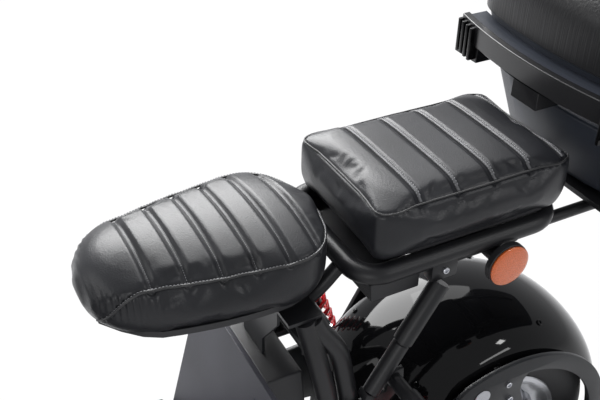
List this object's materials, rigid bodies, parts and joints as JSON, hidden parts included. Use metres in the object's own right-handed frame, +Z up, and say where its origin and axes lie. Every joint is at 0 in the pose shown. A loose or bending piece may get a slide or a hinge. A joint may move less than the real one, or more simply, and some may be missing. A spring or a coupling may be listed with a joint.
{
  "type": "electric scooter",
  "caption": "Electric moped scooter with wide tyres, channelled saddle and passenger seat, red coil shocks, deck battery bay and a lidded top box.",
  "frame": {"origin": "on the floor under the middle of the scooter's bounding box", "axes": "+Z up, -Y is the front of the scooter and +Y its rear, +X is the rider's left"},
  "size_m": [0.7464, 2.0122, 1.0276],
  "materials": {
    "black_paint": "satin",
    "grey_paint": "satin",
    "gloss_black": "gloss",
    "black_plastic": "matte",
    "battery_paint": "matte",
    "black_leather": "satin",
    "rubber": "matte",
    "tyre_rubber": "matte",
    "silver": "satin",
    "steel": "satin",
    "chrome": "polished",
    "red_paint": "gloss",
    "amber": "gloss",
    "clear_lens": "gloss",
    "box_plastic": "matte"
  },
  "bodies": {
    "scooter": {"main_frame": "black_paint", "seat_loop": "black_paint", "brace_left": "black_paint", "brace_right": "black_paint", "deck_plate": "black_paint", "deck_mat": "rubber", "battery_case": "black_plastic", "battery_panel": "battery_paint", "saddle_bracket": "silver", "saddle_mount": "black_paint", "tail_tray": "grey_paint", "controller_box": "black_plastic", "rear_seat_base": "black_plastic", "rear_seat_cushion": "black_leather", "side_reflector_left": "amber", "side_reflector_right": "amber", "carrier": "black_paint", "box_shell": "box_plastic", "box_handle": "black_plastic", "stand_bracket": "black_paint", "box_latch": "black_plastic"},
    "saddle": {"saddle_base": "black_plastic", "saddle_cushion": "black_leather"},
    "rear_wheel": {"rear_tyre": "tyre_rubber", "rear_rim": "silver"},
    "front_wheel": {"front_tyre": "tyre_rubber", "front_rim": "silver", "brake_disc": "steel"},
    "swing_arm": {"swing_plate_left": "grey_paint", "swing_plate_right": "grey_paint", "pivot_shaft": "steel", "rear_axle": "steel", "rear_fender": "gloss_black"},
    "shock_left": {"shock_body_left": "black_paint", "spring_left": "red_paint"},
    "shock_slide_left": {"shock_rod_left": "chrome"},
    "shock_right": {"shock_body_right": "black_paint", "spring_right": "red_paint"},
    "shock_slide_right": {"shock_rod_right": "chrome"},
    "steering": {"fork_yoke": "black_paint", "top_crown": "black_paint", "stanchion_left": "chrome", "stanchion_right": "chrome", "handlebar": "black_paint", "left_grip": "rubber", "brake_perch_left": "black_paint", "brake_perch_right": "black_paint", "headlight_shell": "black_plastic", "headlight_lens": "clear_lens"},
    "fork_travel": {"slider_left": "black_paint", "slider_right": "black_paint", "front_axle": "steel", "front_fender": "gloss_black"},
    "throttle": {"throttle_grip": "rubber"},
    "brake_left": {"brake_lever_left": "black_paint"},
    "horn_press": {"horn_button": "red_paint"},
    "brake_right": {"brake_lever_right": "black_paint"},
    "light_press": {"light_button": "clear_lens"},
    "lid": {"box_lid": "black_plastic"},
    "stand": {"side_stand": "black_paint"}
  },
  "joints": [
    {"name": "steer", "type": "hinge", "parent": "scooter", "child": "steering", "pos_m": [0, -0.75854, 0.20502], "axis": [0, 0.4384, 0.8988], "range_deg": [-35, 35]},
    {"name": "fork_slide", "type": "slide", "parent": "steering", "child": "fork_travel", "axis": [0, 0.4384, 0.8988], "range_m": [0, 0.05], "stiffness_N_per_m": 12000, "springref_m": -0.045},
    {"name": "front_wheel_spin", "type": "hinge", "parent": "fork_travel", "child": "front_wheel", "pos_m": [0, -0.7855, 0.21817], "axis": [1, 0, 0], "continuous": true},
    {"name": "swing", "type": "hinge", "parent": "scooter", "child": "swing_arm", "pos_m": [0, 0.1245, 0.285], "axis": [1, 0, 0], "range_deg": [0, 5], "stiffness_Nm_per_rad": 2500, "springref_deg": -4.58},
    {"name": "rear_wheel_spin", "type": "hinge", "parent": "swing_arm", "child": "rear_wheel", "pos_m": [0, 0.4645, 0.21817], "axis": [1, 0, 0], "continuous": true},
    {"name": "shock_tilt_left", "type": "hinge", "parent": "scooter", "child": "shock_left", "pos_m": [0.166, 0.2665, 0.478], "axis": [1, 0, 0], "range_deg": [0, 2]},
    {"name": "shock_stroke_left", "type": "slide", "parent": "shock_left", "child": "shock_slide_left", "axis": [0, -0.3202, 0.9474], "range_m": [0, 0.0176], "deforming": ["spring_left"]},
    {"name": "shock_tilt_right", "type": "hinge", "parent": "scooter", "child": "shock_right", "pos_m": [-0.166, 0.2665, 0.478], "axis": [1, 0, 0], "range_deg": [0, 2]},
    {"name": "shock_stroke_right", "type": "slide", "parent": "shock_right", "child": "shock_slide_right", "axis": [0, -0.3202, 0.9474], "range_m": [0, 0.0176], "deforming": ["spring_right"]},
    {"name": "throttle_twist", "type": "hinge", "parent": "steering", "child": "throttle", "pos_m": [-0.36, -0.348, 0.98848], "axis": [-0.8668, 0.4889, -0.098], "range_deg": [0, 70], "stiffness_Nm_per_rad": 0.3},
    {"name": "brake_squeeze_left", "type": "hinge", "parent": "steering", "child": "brake_left", "pos_m": [0.25246, -0.45917, 1.00308], "axis": [0.0853, 0.0481, 0.9952], "range_deg": [0, 12], "stiffness_Nm_per_rad": 1.5, "springref_deg": -5.73},
    {"name": "brake_squeeze_right", "type": "hinge", "parent": "steering", "child": "brake_right", "pos_m": [-0.25246, -0.45917, 1.00308], "axis": [0.0853, -0.0481, -0.9952], "range_deg": [0, 12], "stiffness_Nm_per_rad": 1.5, "springref_deg": -5.73},
    {"name": "horn_push", "type": "slide", "parent": "steering", "child": "horn_press", "axis": [-0.0853, -0.0481, -0.9952], "range_m": [0, 0.001], "stiffness_N_per_m": 500},
    {"name": "light_push", "type": "slide", "parent": "steering", "child": "light_press", "axis": [0.0853, -0.0481, -0.9952], "range_m": [0, 0.001], "stiffness_N_per_m": 500},
    {"name": "saddle_tilt", "type": "hinge", "parent": "scooter", "child": "saddle", "pos_m": [0, 0.0125, 0.6423], "axis": [1, 0, 0], "range_deg": [0, 45]},
    {"name": "lid_open", "type": "hinge", "parent": "scooter", "child": "lid", "pos_m": [0, 0.5445, 0.845], "axis": [1, 0, 0], "range_deg": [0, 80]},
    {"name": "stand_fold", "type": "hinge", "parent": "scooter", "child": "stand", "pos_m": [0.128, -0.0555, 0.219], "axis": [1, 0, 0], "range_deg": [0, 85]}
  ],
  "couplings": [
    {"joint": "shock_tilt_left", "follows": "swing", "ratio": 0.3895},
    {"joint": "shock_stroke_left", "follows": "swing", "m_per_rad": 0.1985},
    {"joint": "shock_tilt_right", "follows": "swing", "ratio": 0.3895},
    {"joint": "shock_stroke_right", "follows": "swing", "m_per_rad": 0.1985}
  ]
}
